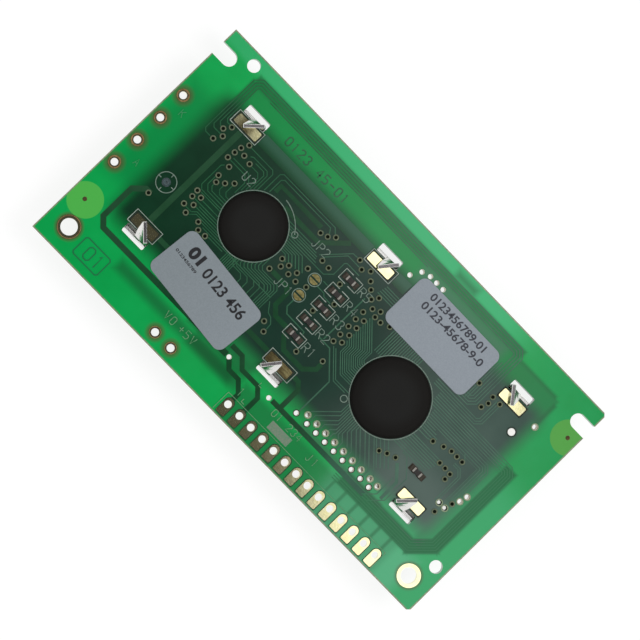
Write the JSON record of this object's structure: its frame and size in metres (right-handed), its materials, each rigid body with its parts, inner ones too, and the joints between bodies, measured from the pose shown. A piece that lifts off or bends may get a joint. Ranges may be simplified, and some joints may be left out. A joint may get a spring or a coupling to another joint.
{
  "type": "character lcd module",
  "caption": "Character display module: green circuit board clamped by twisted tabs to the folded metal bezel of its display, lying face down.",
  "frame": {"origin": "middle of the board's outline, on the plane of the bezel's outer face", "axes": "+X along the board's long side, +Y towards the edge with two slots, +Z out of the board's back"},
  "size_m": [0.084, 0.044, 0.0089],
  "materials": {
    "board": "green solder mask over glass-epoxy laminate",
    "bezel_metal": "tinned sheet steel",
    "polariser_film": "smooth film",
    "cell_glass": "clear float glass",
    "seal_resin": "cured resin",
    "crystal_layer": "thin fluid layer",
    "reflector_film": "film with a silvered back",
    "strip_rubber": "layered silicone",
    "white_plastic": "moulded, satin",
    "black_epoxy": "matt glob-top epoxy",
    "silicon": "polished",
    "gold_plate": "thin gold over nickel and copper",
    "solder": "bright tin solder",
    "resistor_body": "black ceramic with tinned ends",
    "label_paper": "grey printed paper"
  },
  "bodies": {
    "root": {"circuit_board": "board", "bezel": "bezel_metal", "front_polariser": "polariser_film", "front_glass": "cell_glass", "cell_seal": "seal_resin", "liquid_crystal": "crystal_layer", "rear_glass": "cell_glass", "rear_polariser": "reflector_film", "connector_strip_upper": "strip_rubber", "connector_strip_lower": "strip_rubber", "spacer_frame": "white_plastic", "epoxy_cap_u1": "black_epoxy", "silicon_chip_u1": "silicon", "epoxy_cap_u2": "black_epoxy", "silicon_chip_u2": "silicon", "resistor_lands": "gold_plate", "resistor_solder": "solder", "j1_contacts": "gold_plate", "mounting_eyelets": "gold_plate", "backlight_contacts": "gold_plate", "supply_contacts": "gold_plate", "ground_pads": "gold_plate", "jumper_1": "gold_plate", "jumper_2": "gold_plate", "label_left": "label_paper", "label_right": "label_paper", "chip_resistor_1": "resistor_body", "chip_resistor_2": "resistor_body", "chip_resistor_3": "resistor_body", "chip_resistor_4": "resistor_body", "chip_resistor_5": "resistor_body", "chip_resistor_6": "resistor_body"}
  },
  "joints": []
}
